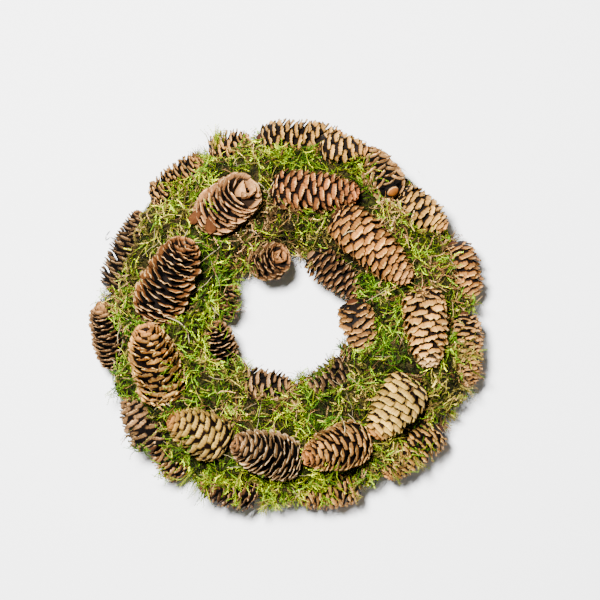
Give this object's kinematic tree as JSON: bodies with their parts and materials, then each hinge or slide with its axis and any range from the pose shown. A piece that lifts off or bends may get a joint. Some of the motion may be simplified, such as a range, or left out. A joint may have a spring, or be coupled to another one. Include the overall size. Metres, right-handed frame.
{
  "type": "pinecone wreath",
  "caption": "Round wreath of open spruce cones bedded in tufted green moss on a flat-backed straw ring bound with thin wire, to hang or to lay flat.",
  "frame": {"origin": "on the ground under the middle of the wreath, which lies on its back", "axes": "+Z out of the wreath's face and +Y towards the top of the wreath as it hangs"},
  "size_m": [0.3492, 0.3482, 0.1132],
  "materials": {
    "cone_tan": "dry, matt spruce cone scales, tan with darker roots",
    "cone_brown": "dry, matt spruce cone scales, weathered brown",
    "cone_dark": "dry, matt spruce cone scales, dark brown with pale lips",
    "moss": "dried feathery moss, matt, yellow-green to olive",
    "straw": "bound dry straw, matt",
    "wire": "thin dark binding wire"
  },
  "bodies": {
    "root": {"cone_face_01": "cone_tan", "cone_face_02": "cone_tan", "cone_face_03": "cone_tan", "cone_face_04": "cone_tan", "cone_face_05": "cone_tan", "cone_face_06": "cone_tan", "cone_face_07": "cone_tan", "cone_face_08": "cone_tan", "cone_face_09": "cone_tan", "cone_face_10": "cone_tan", "cone_outer_01": "cone_brown", "cone_outer_02": "cone_brown", "cone_outer_03": "cone_brown", "cone_outer_04": "cone_brown", "cone_outer_05": "cone_brown", "cone_outer_06": "cone_brown", "cone_outer_07": "cone_brown", "cone_outer_08": "cone_brown", "cone_outer_09": "cone_brown", "cone_outer_10": "cone_brown", "cone_outer_11": "cone_brown", "cone_outer_12": "cone_brown", "cone_outer_13": "cone_brown", "cone_outer_14": "cone_brown", "cone_outer_15": "cone_brown", "cone_inner_01": "cone_dark", "cone_inner_02": "cone_dark", "cone_inner_03": "cone_dark", "cone_inner_04": "cone_dark", "cone_inner_05": "cone_dark", "cone_inner_06": "cone_dark", "cone_inner_07": "cone_dark", "cone_inner_08": "cone_dark", "moss_01": "moss", "moss_02": "moss", "moss_03": "moss", "moss_04": "moss", "moss_05": "moss", "moss_06": "moss", "moss_07": "moss", "moss_08": "moss", "moss_09": "moss", "moss_10": "moss", "moss_11": "moss", "moss_12": "moss", "straw_ring": "straw", "binding_wire": "wire"}
  },
  "joints": []
}
